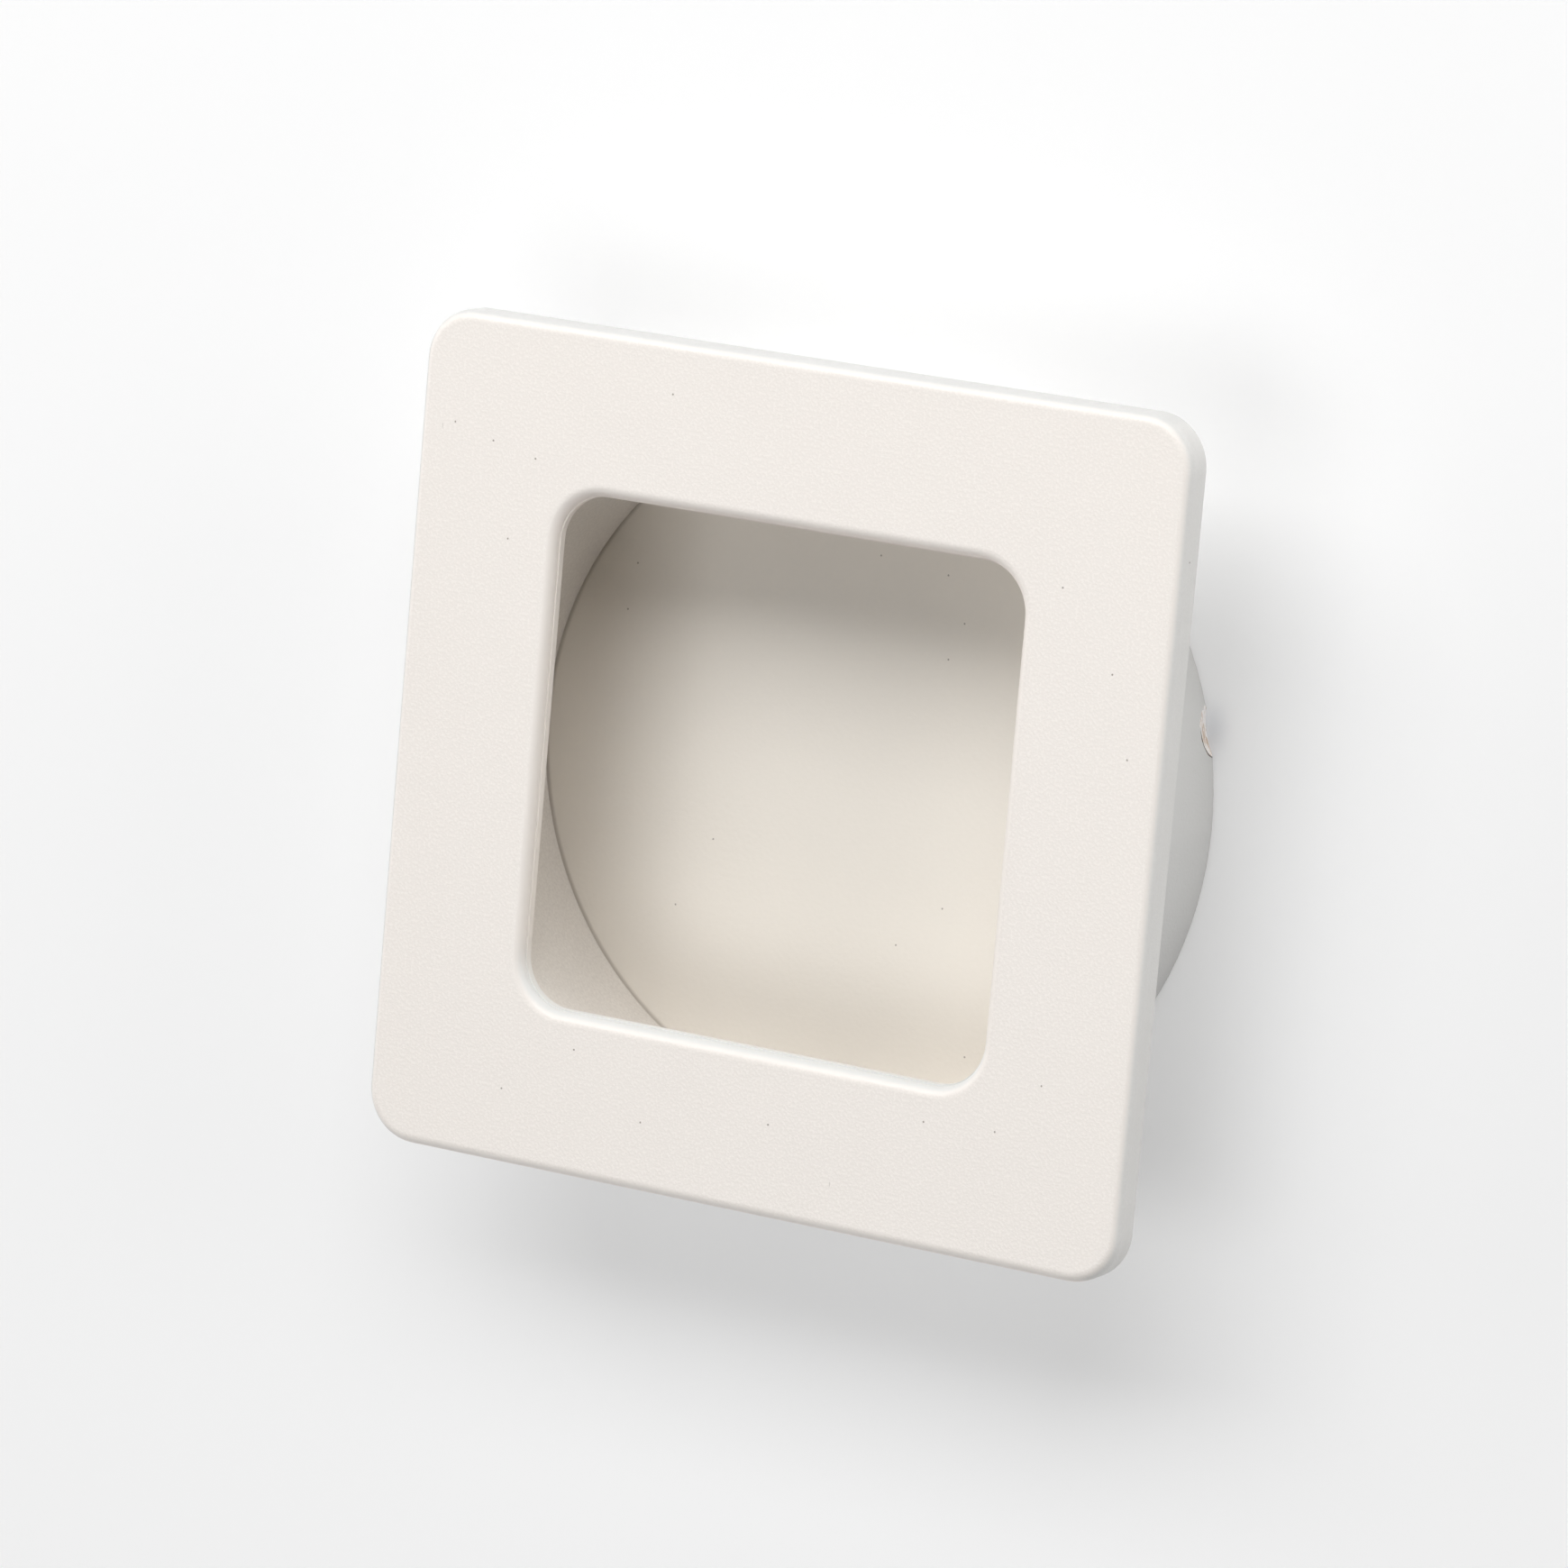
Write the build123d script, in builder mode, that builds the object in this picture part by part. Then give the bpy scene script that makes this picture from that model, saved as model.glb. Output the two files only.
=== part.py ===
from build123d import *
import math
import os

os.makedirs("parts", exist_ok=True)

# Flush pull for a sliding door, in millimetres.
# It lies face up on the base of its cup: the origin is the middle of that base,
# and +Z runs along the cup's axis, out of the face.

# Square face plate
plate_side = 60.0
plate_corner_radius = 3.7
plate_thickness = 2.5
plate_front_round = 0.75
plate_rear_round = 0.2

# Square mouth that the fingers reach through, with a rounded lip that ends in a fine step above a plain land
mouth_side = 36.6
mouth_corner_radius = 3.5
lip_round = 0.8
lip_shoulder = 0.05
lip_step = 0.1
lip_land = 0.55

# Round cup behind the plate, wider than the mouth, so that the lip overhangs it
cup_diameter = 55.0
cup_wall = 2.5
cup_length = 11.9
cup_rim_round = 0.25
joint_groove = 0.2

# Floor disc, let into a rebate in the rear of the cup
floor_thickness = 1.5
floor_ledge = 1.2
floor_clearance = 0.05
floor_rear_chamfer = 0.2

# Chip broken out of the cup's rear rim
chip_bearing = 14.3
chip_length = 3.9
chip_depth = 0.35
chip_height = 1.5

# Heights and radii that follow from the sizes above
seat_height = cup_length
face_height = seat_height + plate_thickness
step_height = face_height - lip_round - lip_shoulder
ceiling_height = step_height - lip_land
upper_mouth_side = mouth_side + 2 * lip_step
upper_corner_radius = mouth_corner_radius + lip_step
cup_radius = cup_diameter / 2
bore_radius = cup_radius - cup_wall
rebate_radius = bore_radius + floor_ledge
floor_radius = rebate_radius - floor_clearance

# The chip is a scoop of a ball that reaches chip_depth into the rim at the base,
# spans chip_length along the rim and runs out chip_height up the wall.
chip_half = chip_length / 2
chip_circle_radius = (chip_half**2 + chip_depth**2) / (2 * chip_depth)
chip_ball_drop = (chip_half**2 - chip_height**2) / (2 * chip_height)
chip_ball_radius = math.hypot(chip_circle_radius, chip_ball_drop)
chip_ball_distance = cup_radius - chip_depth + chip_circle_radius
chip_ball_centre = (
    chip_ball_distance * math.cos(math.radians(chip_bearing)),
    chip_ball_distance * math.sin(math.radians(chip_bearing)),
    -chip_ball_drop,
)

# Body: face plate and cup wall in one casting, open to the rear
with BuildPart() as pull_body:
    with BuildSketch(Plane.XY.offset(seat_height)):
        RectangleRounded(plate_side, plate_side, plate_corner_radius)
    extrude(amount=plate_thickness)
    fillet(pull_body.faces().sort_by(Axis.Z)[-1].edges(), plate_front_round)
    fillet(pull_body.faces().sort_by(Axis.Z)[0].edges(), plate_rear_round)

    with BuildSketch():
        Circle(cup_radius)
    extrude(amount=seat_height)
    fillet(pull_body.faces().sort_by(Axis.Z)[0].edges(), cup_rim_round)

    # Hollow of the cup, up to the underside of the lip, with the floor's rebate and a groove along the joint
    with BuildSketch(Plane.XZ):
        with BuildLine():
            Polyline(
                (0, 0),
                (rebate_radius, 0),
                (rebate_radius, floor_thickness),
                (bore_radius + joint_groove, floor_thickness),
                (bore_radius, floor_thickness + joint_groove),
                (bore_radius, ceiling_height),
                (0, ceiling_height),
                close=True,
            )
        make_face()
    revolve(axis=Axis.Z, mode=Mode.SUBTRACT)

    # Mouth: plain at the land, a step wider above it, and rounded over into the face
    with BuildSketch(Plane.XY.offset(ceiling_height)):
        RectangleRounded(mouth_side, mouth_side, mouth_corner_radius)
    extrude(amount=lip_land, mode=Mode.SUBTRACT)
    with BuildSketch(Plane.XY.offset(step_height)):
        RectangleRounded(upper_mouth_side, upper_mouth_side, upper_corner_radius)
    extrude(amount=lip_shoulder + lip_round, mode=Mode.SUBTRACT)
    fillet(pull_body.faces().sort_by(Axis.Z)[-1].inner_wires()[0].edges(), lip_round)

    with Locations(chip_ball_centre):
        Sphere(chip_ball_radius, mode=Mode.SUBTRACT)
pull_body.part.label = "pull_body"
export_step(pull_body.part, "parts/pull_body.step")

# Floor: a flat disc that closes the cup from the rear, flush with the rim
with BuildPart() as cup_floor:
    with BuildSketch():
        Circle(floor_radius)
    extrude(amount=floor_thickness)
    chamfer(cup_floor.faces().sort_by(Axis.Z)[0].edges(), floor_rear_chamfer)
cup_floor.part.label = "cup_floor"
export_step(cup_floor.part, "parts/cup_floor.step")
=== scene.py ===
import math

import bmesh
import bpy
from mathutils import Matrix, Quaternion, Vector


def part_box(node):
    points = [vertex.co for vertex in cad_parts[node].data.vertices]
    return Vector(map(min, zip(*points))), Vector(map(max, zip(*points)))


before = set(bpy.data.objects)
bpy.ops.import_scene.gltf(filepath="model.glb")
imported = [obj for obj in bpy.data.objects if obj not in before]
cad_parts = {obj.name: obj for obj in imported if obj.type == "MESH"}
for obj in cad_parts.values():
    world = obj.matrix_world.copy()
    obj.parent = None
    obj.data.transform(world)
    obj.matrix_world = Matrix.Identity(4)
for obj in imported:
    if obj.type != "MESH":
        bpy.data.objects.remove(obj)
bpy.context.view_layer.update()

# Lengths are in metres, written as millimetres times MM, and angles are in degrees
MM = 0.001
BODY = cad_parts["pull_body"]
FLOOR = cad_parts["cup_floor"]

# Heights and radii of the part that the finishes follow
FACE_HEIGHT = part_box("pull_body")[1].z
FLOOR_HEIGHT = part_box("cup_floor")[1].z
SEAT_HEIGHT = 11.9 * MM
STEP_HEIGHT = FACE_HEIGHT - 0.85 * MM
LIP_UNDERSIDE = FACE_HEIGHT - 1.4 * MM
BORE_RADIUS = 25.0 * MM
CUP_RADIUS = 27.5 * MM

# The camera stands where the photo's camera stood: 0 degrees of azimuth looks along +Y
VIEW_AZIMUTH = 110.92
VIEW_ELEVATION = 60.52
VIEW_ROLL = -103.39
VIEW_DISTANCE = 543.9 * MM
VIEW_LENS = 180.9
VIEW_SENSOR = 36.0
VIEW_AIM = Vector((1.41 * MM, 0.67 * MM, FACE_HEIGHT))

# Soft panels: name, bearing from +X towards +Y, elevation, then distance, width and height in metres,
# and the light that each gives a surface turned straight to it
PANELS = [
    ("key_panel", 98, 45, 0.6, 0.78, 0.27, 2.85),
    ("left_panel", 165, 18, 1.5, 1.2, 0.6, 0.8),
    ("right_panel", 25, 15, 1.5, 0.8, 0.6, 0.62),
    ("low_right_panel", 25, 4, 1.5, 0.8, 0.15, 0.35),
    ("low_front_panel", 250, 4, 1.5, 1.2, 0.15, 0.36),
    ("lower_panel", 245, 72, 1.5, 1.2, 0.7, 0.84),
]

# The room's walls glow up to one elevation, and by another have lost most of the glow
ROOM_GLOW = 0.325
ROOM_GLOW_LOST = 0.295
ROOM_GLOW_UP_TO = 15
ROOM_DIM_FROM = 40

# White paper, with a soft shadow painted on it beside the chip
PAPER = (0.95, 0.95, 0.95, 1)
PAPER_PAINTED_SHADE = (0.67, 0.715, 0.78, 1)
PAPER_GLOW = 0.3
PAPER_HALF_SIDE = 4.0
PAPER_GAP = 0.02 * MM
SHADE_PLACE = (26.7 * MM, 6.8 * MM)
SHADE_RADIUS = 2.6 * MM
SHADE_SQUEEZE = 0.62
SHADE_DEPTH = 0.56

# Lacquer on the face in two grain tones, then painted shade and light on the plate's sides and on the outside
# of the cup
LACQUER = (0.866, 0.817, 0.769, 1)
LACQUER_LIGHT = (0.886, 0.837, 0.789, 1)
# Painted shade: the plate's sides and rounds greyer than the face, in two grain tones
EDGE_PAINTED_SHADE = (0.67, 0.66, 0.64, 1)
EDGE_PAINTED_SHADE_PALER = (0.71, 0.7, 0.68, 1)
# Painted shade laid over the left and the top side
LEFT_TOP_PAINTED_SHADE = (0.42, 0.44, 0.45, 1)
# Painted light: a paler colour on the bottom side and on the lip's top side, which face away from the lamps
LACQUER_PAINTED_LIGHT = (0.94, 0.875, 0.83, 1)
# Painted shade: the cup's outside greyer than the face
CUP_PAINTED_SHADE = (0.645, 0.64, 0.625, 1)

# Painted shade and light on the lip and on the cup's wall below it, and lacquer on its floor
# Painted shade on the lip's rounds and greyer on its low side, and paler painted light on the low land below
# the step
LIP_PAINTED_SHADE = (0.81, 0.76, 0.71, 1)
LOW_LIP_PAINTED_SHADE = (0.75, 0.75, 0.735, 1)
LOW_LAND_PAINTED_LIGHT = (0.8, 0.795, 0.775, 1)
# Painted shade: the cup's wall below the lip darker than the face, in two grain tones
INNER_WALL_PAINTED_SHADE = (0.685, 0.645, 0.6, 1)
INNER_WALL_PAINTED_SHADE_PALER = (0.825, 0.785, 0.735, 1)
LACQUER_WARM = (0.845, 0.8, 0.73, 1)
LACQUER_WARM_LIGHT = (0.875, 0.83, 0.76, 1)

# Dirt, dirt with painted shade in the joint and on the rim, and what the chip lays bare
# Dirt and painted shade in the floor's joint and on the rear rim
GROOVE_DIRT_AND_SHADE = (0.3, 0.26, 0.22, 1)
DUST = (0.2, 0.16, 0.13, 1)
BARE_PALE = (0.98, 0.95, 0.925, 1)
BARE_TAN = (0.62, 0.47, 0.35, 1)
CRACK = (0.06, 0.04, 0.025, 1)

# How the body's colours pass from one to the next: down from the face into the painted shade of the rounds,
# out from the bore and below the lip and the plate
EDGE_DROP = 0.36 * MM
OUTSIDE_BLEND = 0.5 * MM
BELOW_BLEND = 0.1 * MM

# The plate's sides, by distance from its middle, where painted shade and light go, and how much painted shade
# the left and the top one get
SIDE_START = 29.3 * MM
SIDE_FULL = 30 * MM
TOP_SIDE_FULL = 29.8 * MM
LEFT_SHADE = 0.5
TOP_SHADE = 0.2

# Where the lip's painted shade and light change: its low and top sides, by distance from the mouth's middle,
# and its land, by depth below the step
LIP_SIDE_FULL = 17.6 * MM
LIP_LOW_START = 13 * MM
LIP_TOP_START = 14 * MM
LAND_START = 0.015 * MM
LAND_FULL = 0.03 * MM

# Grain of the lacquer and the soft clouds in it: size of their lumps, relief, and share of the lighter colour
BODY_GRAIN_SIZE = 0.2 * MM
BODY_CLOUD_SIZE = 7 * MM
BODY_GRAIN_RELIEF = 0.026 * MM
BODY_GRAIN_SHARE = 1.4
BODY_CLOUD_SHARE = 0.7
BODY_SHARE_LESS = 0.55
FLOOR_GRAIN_SIZE = 0.35 * MM
FLOOR_CLOUD_SIZE = 9 * MM
FLOOR_GRAIN_RELIEF = 0.015 * MM
FLOOR_SHARE = 0.5

# Gloss of the lacquer: least roughness, and what its grain and the edges add
BODY_ROUGHNESS = 0.24
BODY_GRAIN_ROUGHNESS = 0.06
BODY_EDGE_ROUGHNESS = 0.35
BODY_SPECULAR = 0.35
FLOOR_ROUGHNESS = 0.42
FLOOR_GRAIN_ROUGHNESS = 0.1

# Dark grains of dust on the face, on the plate's sides and on the cup's floor, by place in millimetres
FACE_DUST = [
    (-27.1, 22.0), (-23.9, 21.1), (-20.4, 20.3), (-9.9, 26.3), (-22.1, 14.4),
    (21.3, 17.4), (25.6, 12.1), (27.3, 6.5), (-13.4, -20.8), (-19.0, -24.6),
    (-7.6, -25.0), (2.5, -23.3), (14.5, -20.9), (20.0, -20.6), (23.2, -16.8),
]
SIDE_DUST = [(30.0, 20.3, 13.3), (20.8, 30.0, 11.9)]
FLOOR_DUST = [
    (-18.7, 12.0), (-19.2, 8.6), (0.7, 15.4), (6.1, 14.8), (7.7, 11.6), (6.7, 8.9),
    (-10.7, -6.8), (-13.3, -12.0), (8.0, -8.7), (4.6, -11.9), (10.8, -18.9),
]
DUST_RADIUS = 0.07 * MM
DUST_OUTER_RADIUS = 1.9 * DUST_RADIUS
DUST_RAGGED_SIZE = 0.12 * MM
BODY_DUST_DEPTH = 0.8
FLOOR_DUST_DEPTH = 0.7

# Two short pale grey hairs on the face, by place in millimetres
FACE_HAIRS = [(-28.1, 21.6), (7.7, -26.6)]
HAIR_LENGTH = 0.5 * MM
HAIR_WIDTH = 0.1 * MM
HAIR_DEPTH = 0.25

# Dirt and painted shade along the joint of wall and floor, and on the rear rim by height above the base
JOINT_DIRT_AND_SHADE_REACH = 0.3 * MM
JOINT_DIRT_AND_SHADE_DEPTH = 0.35
# Dirt with painted contact shade on the rear rim near the base
RIM_DIRT_AND_SHADE_FULL = 0.1 * MM
RIM_DIRT_AND_SHADE_END = 0.35 * MM
RIM_DIRT_AND_SHADE_DEPTH = 0.3

# Chip in the rear rim: sizes of the scoop, and the crumbs that make its surface and its borders uneven
CHIP_BEARING = 14.3
CHIP_LENGTH = 3.9 * MM
CHIP_DEPTH = 0.35 * MM
CHIP_HEIGHT = 1.5 * MM
CRUMB_SIZE = 0.3 * MM
CRUMB_DETAIL = 4.0
CRUMB_ROUGHNESS = 0.7
CRUMB_RELIEF = 0.12 * MM

# Lacquer flaked off round the chip: how far out from the scoop, and how far crumbs shift its border
FLAKE_FULL = 0.12 * MM
FLAKE_END = 0.18 * MM
FLAKE_RAGGED = 0.2 * MM

# The chip's lower part starts a little above the chip's middle, and is reached in full a little below it
CHIP_LOWER_START = 0.6 * MM
CHIP_LOWER_FULL = 0.2 * MM

# Thin tan layers in the chip: stretch and size of the noise they are cut from, and where in it they lie
LAYER_STRETCH = (0.4, 0.4, 2.5)
LAYER_SIZE = 0.3 * MM
LAYER_DETAIL = 3.0
LAYER_START = 0.54
LAYER_FULL = 0.6
LAYER_LOWER_GAIN = 0.04

# Crack along the border of the chip's lower part: distance out from the scoop, half widths and unevenness
CRACK_AWAY = 0.04 * MM
CRACK_FULL = 0.012 * MM
CRACK_END = 0.03 * MM
CRACK_RAGGED = 0.02 * MM


class Wire:
    """An output socket in a finish. Arithmetic on wires and numbers adds Math nodes."""

    def __init__(self, finish, socket):
        self.finish = finish
        self.socket = socket

    def math(self, operation, first, second):
        return self.finish.node("ShaderNodeMath", {"operation": operation}, {0: first, 1: second})

    def __add__(self, other):
        return self.math("ADD", self, other)

    __radd__ = __add__

    def __sub__(self, other):
        return self.math("SUBTRACT", self, other)

    def __rsub__(self, other):
        return self.math("SUBTRACT", other, self)

    def __mul__(self, other):
        """Times a number or a wire, or a place stretched by three numbers."""
        if isinstance(other, tuple):
            settings = {"operation": "MULTIPLY"}
            return self.finish.node("ShaderNodeVectorMath", settings, {0: self, 1: other})
        return self.math("MULTIPLY", self, other)

    def part(self, axis):
        """One part, X, Y or Z, of a place."""
        return self.finish.node("ShaderNodeSeparateXYZ", {}, {0: self}, axis)

    def size(self):
        """The value without its sign."""
        return self.finish.node("ShaderNodeMath", {"operation": "ABSOLUTE"}, {0: self})

    def larger(self, other):
        return self.math("MAXIMUM", self, other)

    def fade(self, start, end):
        """0 up to start and 1 from end on, with a soft step between them."""
        settings = {"interpolation_type": "SMOOTHSTEP"}
        sockets = {"Value": self, "From Min": start, "From Max": end}
        return self.finish.node("ShaderNodeMapRange", settings, sockets)


class Finish:
    """The nodes of a material or of the room, built up from wires."""

    def __init__(self, owner):
        self.owner = owner
        owner.use_nodes = True
        self.tree = owner.node_tree
        self.tree.nodes.clear()

    def node(self, kind, settings, sockets, output=0):
        """Adds a node: its settings first, then a value or a wire for each socket named."""
        node = self.tree.nodes.new(kind)
        for name, value in settings.items():
            setattr(node, name, value)
        for name, value in sockets.items():
            if isinstance(value, Wire):
                self.tree.links.new(value.socket, node.inputs[name])
            else:
                node.inputs[name].default_value = value
        return Wire(self, node.outputs[output]) if node.outputs else None

    def place(self):
        return self.node("ShaderNodeTexCoord", {}, {}, "Object")

    def noise(self, place, size, detail=2.0, roughness=0.5):
        """Soft noise from 0 to 1 whose lumps are about that size."""
        sockets = {"Vector": place, "Scale": 1 / size, "Detail": detail, "Roughness": roughness}
        return self.node("ShaderNodeTexNoise", {}, sockets, "Fac")

    def distance(self, place, point):
        settings = {"operation": "DISTANCE"}
        return self.node("ShaderNodeVectorMath", settings, {0: place, 1: point}, "Value")

    def from_axis(self, place):
        """Distance of a place from the cup's axis."""
        return self.distance(place * (1, 1, 0), (0, 0, 0))

    def mix(self, share, first, second):
        """A colour between two colours."""
        sockets = {0: share, 6: first, 7: second}
        return self.node("ShaderNodeMix", {"data_type": "RGBA"}, sockets, 2)

    def seen(self):
        """1 where the camera sees a thing straight, in a reflection or through glass."""
        rays = ["Is Camera Ray", "Is Glossy Ray", "Is Transmission Ray"]
        camera, glossy, through = [self.node("ShaderNodeLightPath", {}, {}, ray) for ray in rays]
        return camera.larger(glossy).larger(through)

    def bump(self, height):
        """A normal that follows a relief of that height in metres."""
        return self.node("ShaderNodeBump", {}, {"Strength": 1.0, "Distance": 1.0, "Height": height})

    def surface(self, **sockets):
        """The finish's own shader, with socket names written with _ for a space."""
        named = {name.replace("_", " "): value for name, value in sockets.items()}
        shader = self.node("ShaderNodeBsdfPrincipled", {}, named)
        self.node("ShaderNodeOutputMaterial", {}, {"Surface": shader})
        return self.owner


def dust_mask(f, place, spots):
    """1 on each grain of dust, with an uneven outline, and 0 between them."""
    ragged = f.noise(place, DUST_RAGGED_SIZE) * DUST_RADIUS
    mask = 0.0
    for spot in spots:
        away = f.distance(place, spot) + ragged
        mask = (1 - away.fade(DUST_RADIUS, DUST_OUTER_RADIUS)).larger(mask)
    return mask


def hair_mask(f, place):
    """1 along each short hair on the face, and 0 between them."""
    squeeze = HAIR_WIDTH / HAIR_LENGTH
    squeezed = place * (1, squeeze, 1)
    mask = 0.0
    for across, up in FACE_HAIRS:
        away = f.distance(squeezed, (across * MM, up * MM * squeeze, FACE_HEIGHT))
        mask = (1 - away.fade(HAIR_WIDTH / 4, HAIR_WIDTH / 2)).larger(mask)
    return mask


def joint_dirt_and_shade(f, place):
    """Dirt and painted shade in the fine groove where the floor meets the cup's wall, which fade out beside
    it.
    """
    rise = place.part("Z") - FLOOR_HEIGHT
    section = f.node("ShaderNodeCombineXYZ", {}, {0: f.from_axis(place), 1: rise})
    beside = f.distance(section, (BORE_RADIUS, 0, 0))
    return (1 - beside.fade(0, JOINT_DIRT_AND_SHADE_REACH)) * JOINT_DIRT_AND_SHADE_DEPTH


def chip_ball():
    """Centre and radius of the ball that scooped the chip out of the rim."""
    half = CHIP_LENGTH / 2
    circle = (half**2 + CHIP_DEPTH**2) / (2 * CHIP_DEPTH)
    drop = (half**2 - CHIP_HEIGHT**2) / (2 * CHIP_HEIGHT)
    away = CUP_RADIUS - CHIP_DEPTH + circle
    bearing = math.radians(CHIP_BEARING)
    centre = Vector((away * math.cos(bearing), away * math.sin(bearing), -drop))
    return centre, math.hypot(circle, drop)


def chip_bare(f, place, crumb):
    """1 where the chip and the flaked lacquer round it bare the metal, with an uneven border."""
    centre, radius = chip_ball()
    away = f.distance(place, centre) + crumb * FLAKE_RAGGED
    return 1 - away.fade(radius + FLAKE_FULL, radius + FLAKE_END)


def chip_colour(f, place, crumb):
    """Pale crumbs, thin tan layers and a dark crack along the border of the chip's lower part."""
    centre, radius = chip_ball()
    middle = CUP_RADIUS * math.sin(math.radians(CHIP_BEARING))
    lower = 1 - place.part("Y").fade(middle - CHIP_LOWER_FULL, middle + CHIP_LOWER_START)
    layers = f.noise(place * LAYER_STRETCH, LAYER_SIZE, LAYER_DETAIL) + lower * LAYER_LOWER_GAIN
    torn = f.mix(layers.fade(LAYER_START, LAYER_FULL), BARE_PALE, BARE_TAN)
    border = f.distance(place, centre) + crumb * CRACK_RAGGED - (radius + CRACK_AWAY)
    crack = (1 - border.size().fade(CRACK_FULL, CRACK_END)) * lower
    return f.mix(crack, torn, CRACK)


def side_shade_and_light(f, place, speckle):
    """Painted shade and light on the plate's sides: greyer than the face, darker on the left and the top one,
    and painted lighter on the bottom one.
    """
    left = 1 - place.part("X").fade(-SIDE_FULL, -SIDE_START)
    top = place.part("Y").fade(SIDE_START, TOP_SIDE_FULL)
    bottom = 1 - place.part("Y").fade(-SIDE_FULL, -SIDE_START)
    colour = f.mix(speckle, EDGE_PAINTED_SHADE, EDGE_PAINTED_SHADE_PALER)
    colour = f.mix(left * LEFT_SHADE + top * TOP_SHADE, colour, LEFT_TOP_PAINTED_SHADE)
    return f.mix(bottom, colour, LACQUER_PAINTED_LIGHT)


def lip_shade_and_light(f, place):
    """Painted shade and light on the lip: painted shade on its rounds, greyer on its low side with a paler
    painted light on the land there, and pale painted light on its top side.
    """
    up = place.part("Y")
    land = 1 - place.part("Z").fade(STEP_HEIGHT - LAND_FULL, STEP_HEIGHT - LAND_START)
    low = f.mix(land, LOW_LIP_PAINTED_SHADE, LOW_LAND_PAINTED_LIGHT)
    colour = f.mix(up.fade(-LIP_SIDE_FULL, -LIP_LOW_START), low, LIP_PAINTED_SHADE)
    return f.mix(up.fade(LIP_TOP_START, LIP_SIDE_FULL), colour, LACQUER_PAINTED_LIGHT)


def body_lacquer():
    """Off-white satin lacquer with a fine grain, dust, dirt and the bare chip, painted shade on the edges,
    inside the cup and on its outside, painted light on some sides, and dirt with painted shade in the joint
    and on the rim.
    """
    f = Finish(bpy.data.materials.new("body_lacquer"))
    place = f.place()
    height = place.part("Z")
    grain = f.noise(place, BODY_GRAIN_SIZE)
    cloud = f.noise(place, BODY_CLOUD_SIZE)
    speckle = grain * BODY_GRAIN_SHARE + cloud * BODY_CLOUD_SHARE - BODY_SHARE_LESS

    outside = f.from_axis(place).fade(BORE_RADIUS, BORE_RADIUS + OUTSIDE_BLEND)
    inside = 1 - outside
    edge = 1 - height.fade(FACE_HEIGHT - EDGE_DROP, FACE_HEIGHT)
    below_lip = (1 - height.fade(LIP_UNDERSIDE - BELOW_BLEND, LIP_UNDERSIDE)) * inside
    cup = (1 - height.fade(SEAT_HEIGHT - BELOW_BLEND, SEAT_HEIGHT)) * outside
    # Dirt and painted contact shade on the rear rim near the base
    rim = (1 - height.fade(RIM_DIRT_AND_SHADE_FULL, RIM_DIRT_AND_SHADE_END)) * outside

    # Painted shade and light on the rounds and sides, on the cup's wall below the lip and on the cup's
    # outside
    edge_shade_and_light = f.mix(outside, lip_shade_and_light(f, place), side_shade_and_light(f, place, speckle))
    inner_shade = f.mix(speckle, INNER_WALL_PAINTED_SHADE, INNER_WALL_PAINTED_SHADE_PALER)
    colour = f.mix(edge, f.mix(speckle, LACQUER, LACQUER_LIGHT), edge_shade_and_light)
    colour = f.mix(below_lip, colour, inner_shade)
    # Painted shade on the cup's outside
    colour = f.mix(cup, colour, CUP_PAINTED_SHADE)

    spots = [(x * MM, y * MM, FACE_HEIGHT) for x, y in FACE_DUST]
    spots += [(x * MM, y * MM, z * MM) for x, y, z in SIDE_DUST]
    colour = f.mix(dust_mask(f, place, spots) * BODY_DUST_DEPTH, colour, DUST)
    colour = f.mix(hair_mask(f, place) * HAIR_DEPTH, colour, DUST)
    colour = f.mix(joint_dirt_and_shade(f, place), colour, GROOVE_DIRT_AND_SHADE)
    colour = f.mix(rim * RIM_DIRT_AND_SHADE_DEPTH, colour, GROOVE_DIRT_AND_SHADE)

    crumb = f.noise(place, CRUMB_SIZE, CRUMB_DETAIL, CRUMB_ROUGHNESS)
    bare = chip_bare(f, place, crumb)
    colour = f.mix(bare, colour, chip_colour(f, place, crumb))

    grained = (1 - bare) * (1 - edge * inside)
    normal = f.bump(grain * grained * BODY_GRAIN_RELIEF + crumb * bare * CRUMB_RELIEF)
    rough = BODY_ROUGHNESS + grain * BODY_GRAIN_ROUGHNESS + edge * BODY_EDGE_ROUGHNESS
    return f.surface(
        Base_Color=colour, Roughness=rough, Specular_IOR_Level=BODY_SPECULAR, Normal=normal
    )


def floor_lacquer():
    """Warmer and smoother lacquer on the floor disc, with dust, and dirt and painted shade where it meets the
    cup's wall.
    """
    f = Finish(bpy.data.materials.new("floor_lacquer"))
    place = f.place()
    grain = f.noise(place, FLOOR_GRAIN_SIZE)
    cloud = f.noise(place, FLOOR_CLOUD_SIZE)
    colour = f.mix((grain + cloud) * FLOOR_SHARE, LACQUER_WARM, LACQUER_WARM_LIGHT)
    spots = [(x * MM, y * MM, FLOOR_HEIGHT) for x, y in FLOOR_DUST]
    colour = f.mix(dust_mask(f, place, spots) * FLOOR_DUST_DEPTH, colour, DUST)
    colour = f.mix(joint_dirt_and_shade(f, place), colour, GROOVE_DIRT_AND_SHADE)
    rough = FLOOR_ROUGHNESS + grain * FLOOR_GRAIN_ROUGHNESS
    return f.surface(
        Base_Color=colour, Roughness=rough, Normal=f.bump(grain * FLOOR_GRAIN_RELIEF)
    )


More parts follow.
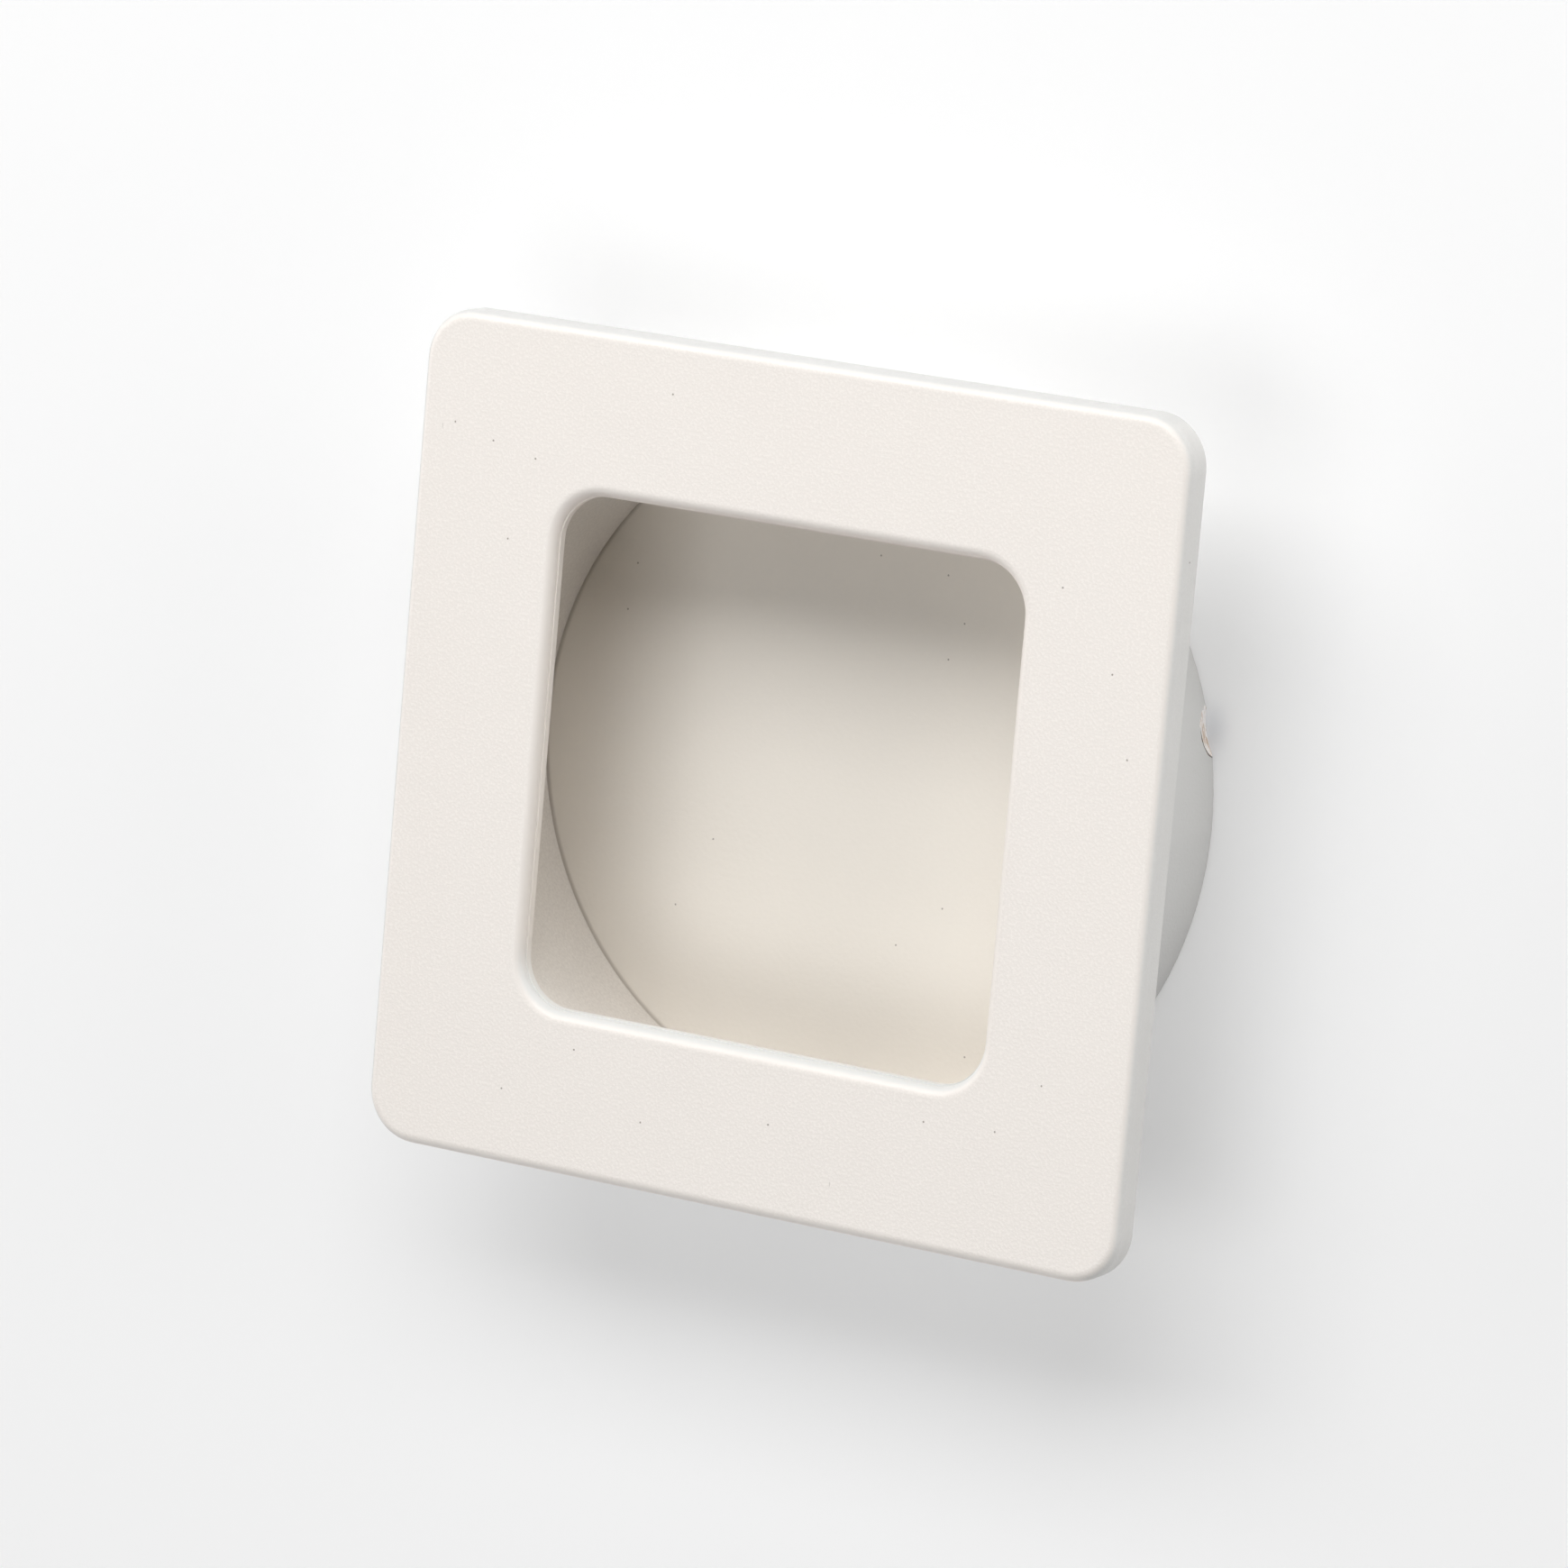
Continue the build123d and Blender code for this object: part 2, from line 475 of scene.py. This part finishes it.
def white_paper():
    """White paper, brighter to the camera and in reflections than the light on it makes it.

    A soft shadow is painted on it beside the chip, where the rim stands off the paper.
    """
    f = Finish(bpy.data.materials.new("white_paper"))
    sheet = f.node("ShaderNodeBsdfDiffuse", {}, {"Color": PAPER})
    # Painted shadow: a duller paper mixed in beside the chip
    painted_shade = f.node("ShaderNodeBsdfDiffuse", {}, {"Color": PAPER_PAINTED_SHADE})
    glow = f.node("ShaderNodeEmission", {}, {"Strength": 1.0})
    lifted = f.node("ShaderNodeMixShader", {}, {0: f.seen() * PAPER_GLOW, 1: sheet, 2: glow})
    across, up = SHADE_PLACE
    squeezed = f.place() * (1, SHADE_SQUEEZE, 1)
    near = 1 - f.distance(squeezed, (across, up * SHADE_SQUEEZE, 0)).fade(0, SHADE_RADIUS)
    shade = near * near * SHADE_DEPTH
    shaded = f.node("ShaderNodeMixShader", {}, {0: shade, 1: lifted, 2: painted_shade})
    f.node("ShaderNodeOutputMaterial", {}, {"Surface": shaded})
    return f.owner


def white_room():
    """A room whose walls glow near the horizon, and which looks white to the camera and in reflections."""
    f = Finish(bpy.data.worlds.new("white_room"))
    rise = f.node("ShaderNodeTexCoord", {}, {}, "Generated").part("Z")
    start, end = [math.sin(math.radians(angle)) for angle in (ROOM_GLOW_UP_TO, ROOM_DIM_FROM)]
    glow = ROOM_GLOW - rise.fade(start, end) * ROOM_GLOW_LOST
    sockets = {"Color": (1, 1, 1, 1), "Strength": glow.larger(f.seen())}
    room = f.node("ShaderNodeBackground", {}, sockets)
    f.node("ShaderNodeOutputWorld", {}, {"Surface": room})
    return f.owner


def add_ground():
    """A wide sheet of white paper under the pull, a hair below its base."""
    mesh = bpy.data.meshes.new("ground")
    bm = bmesh.new()
    bmesh.ops.create_grid(bm, x_segments=1, y_segments=1, size=PAPER_HALF_SIDE)
    bm.to_mesh(mesh)
    bm.free()
    mesh.materials.append(white_paper())
    ground = bpy.data.objects.new("ground", mesh)
    ground.location.z = -PAPER_GAP
    bpy.context.scene.collection.objects.link(ground)


def towards(bearing, elevation):
    """Unit vector at a bearing from +X towards +Y and at an elevation."""
    b, e = math.radians(bearing), math.radians(elevation)
    return Vector((math.cos(b) * math.cos(e), math.sin(b) * math.cos(e), math.sin(e)))


def add_panel(name, bearing, elevation, distance, width, height, light):
    """A soft panel that faces the pull."""
    data = bpy.data.lights.new(name, "AREA")
    data.shape = "RECTANGLE"
    data.size = width
    data.size_y = height
    data.energy = light * math.pi * distance**2
    lamp = bpy.data.objects.new(name, data)
    out = towards(bearing, elevation)
    lamp.location = out * distance
    lamp.rotation_euler = out.to_track_quat("Z", "Y").to_euler()
    bpy.context.scene.collection.objects.link(lamp)


def add_camera():
    """The photo's camera, turned about its line of sight so that the plate stands as in the photo."""
    data = bpy.data.cameras.new("camera")
    data.lens = VIEW_LENS
    data.sensor_width = VIEW_SENSOR
    camera = bpy.data.objects.new("camera", data)
    back = towards(VIEW_AZIMUTH - 90, VIEW_ELEVATION)
    camera.location = VIEW_AIM + back * VIEW_DISTANCE
    roll = Quaternion((0, 0, 1), math.radians(VIEW_ROLL))
    camera.rotation_euler = (back.to_track_quat("Z", "Y") @ roll).to_euler()
    bpy.context.scene.collection.objects.link(camera)
    bpy.context.scene.camera = camera


def dress(node, material):
    """Gives a CAD node's slots a finish."""
    for slot in node.material_slots:
        slot.material = material


dress(BODY, body_lacquer())
dress(FLOOR, floor_lacquer())
add_ground()
for panel in PANELS:
    add_panel(*panel)
bpy.context.scene.world = white_room()
add_camera()
bpy.context.scene.view_settings.view_transform = "Standard"
